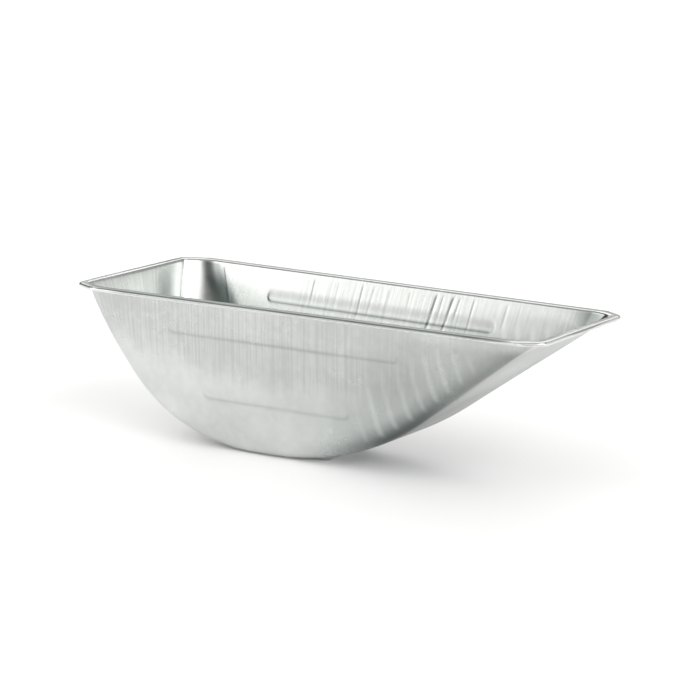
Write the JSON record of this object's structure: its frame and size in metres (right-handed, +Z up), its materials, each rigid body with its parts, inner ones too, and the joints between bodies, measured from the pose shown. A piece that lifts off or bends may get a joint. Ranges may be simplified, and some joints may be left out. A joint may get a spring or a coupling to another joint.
{
  "type": "mud pan",
  "caption": "Hand pan for drywall mud, deep-drawn from galvanised sheet with a wired rolled rim, steep heel, curved bottom and long sloping nose.",
  "frame": {"origin": "centre of the bounding box seen from above, on the level of the flat foot under the bottom", "axes": "+X along the length to the sloping nose, +Y across the pan, +Z up out of its mouth"},
  "size_m": [0.38, 0.1408, 0.115],
  "materials": {
    "galvanised_sheet": "bright galvanised sheet with fine vertical draw lines on the walls",
    "galvanised_wire": "drawn galvanised wire"
  },
  "bodies": {
    "root": {"pan_shell": "galvanised_sheet", "rim_wire": "galvanised_wire"}
  },
  "joints": []
}
